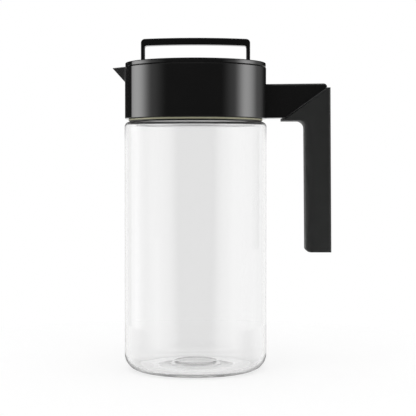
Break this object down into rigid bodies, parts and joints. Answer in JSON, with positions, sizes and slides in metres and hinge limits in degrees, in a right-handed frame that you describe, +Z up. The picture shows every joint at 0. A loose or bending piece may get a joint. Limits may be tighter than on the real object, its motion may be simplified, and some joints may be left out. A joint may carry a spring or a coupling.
{
  "type": "iced tea pitcher",
  "caption": "Iced tea pitcher: clear cylindrical vessel, glossy collar with a V spout, soft-grip handle, and a lift-out turning lid with a folding bail.",
  "frame": {"origin": "on the vessel's axis, in the plane of the ring that it stands on", "axes": "+Z up along the vessel's axis, -X towards the spout, +X towards the handle"},
  "size_m": [0.1754, 0.114, 0.2659],
  "materials": {
    "clear_plastic": "clear, polished",
    "gloss_black": "high gloss",
    "soft_grip": "matt, soft to the touch",
    "core_plastic": "moulded",
    "olive_silicone": "satin",
    "silicone": "satin, translucent",
    "steel": "turned"
  },
  "bodies": {
    "root": {"pitcher_body": "clear_plastic", "collar_seal": "olive_silicone", "neck_gasket": "silicone", "collar_shell": "gloss_black", "collar_liner": "gloss_black", "handle_core": "core_plastic", "handle_grip": "soft_grip", "handle_screws": "steel"},
    "lid_seals": {"lid_gasket_lower": "silicone", "lid_gasket_upper": "silicone"},
    "lid": {"lid_cap": "gloss_black", "lid_plug": "gloss_black", "pour_strainer": "gloss_black", "spout_seal": "silicone", "bail_pin_left": "steel", "bail_pin_right": "steel"},
    "bail": {"bail_handle": "gloss_black"}
  },
  "joints": [
    {"name": "lid_lift", "type": "slide", "parent": "root", "child": "lid_seals", "axis": [0, 0, 1], "range_m": [0, 0.07]},
    {"name": "lid_turn", "type": "hinge", "parent": "lid_seals", "child": "lid", "pos_m": [0, 0, 0.22], "axis": [0, 0, -1], "range_deg": [0, 90]},
    {"name": "bail_fold", "type": "hinge", "parent": "lid", "child": "bail", "pos_m": [0, 0, 0.2408], "axis": [-1, 0, 0], "range_deg": [0, 90]}
  ]
}
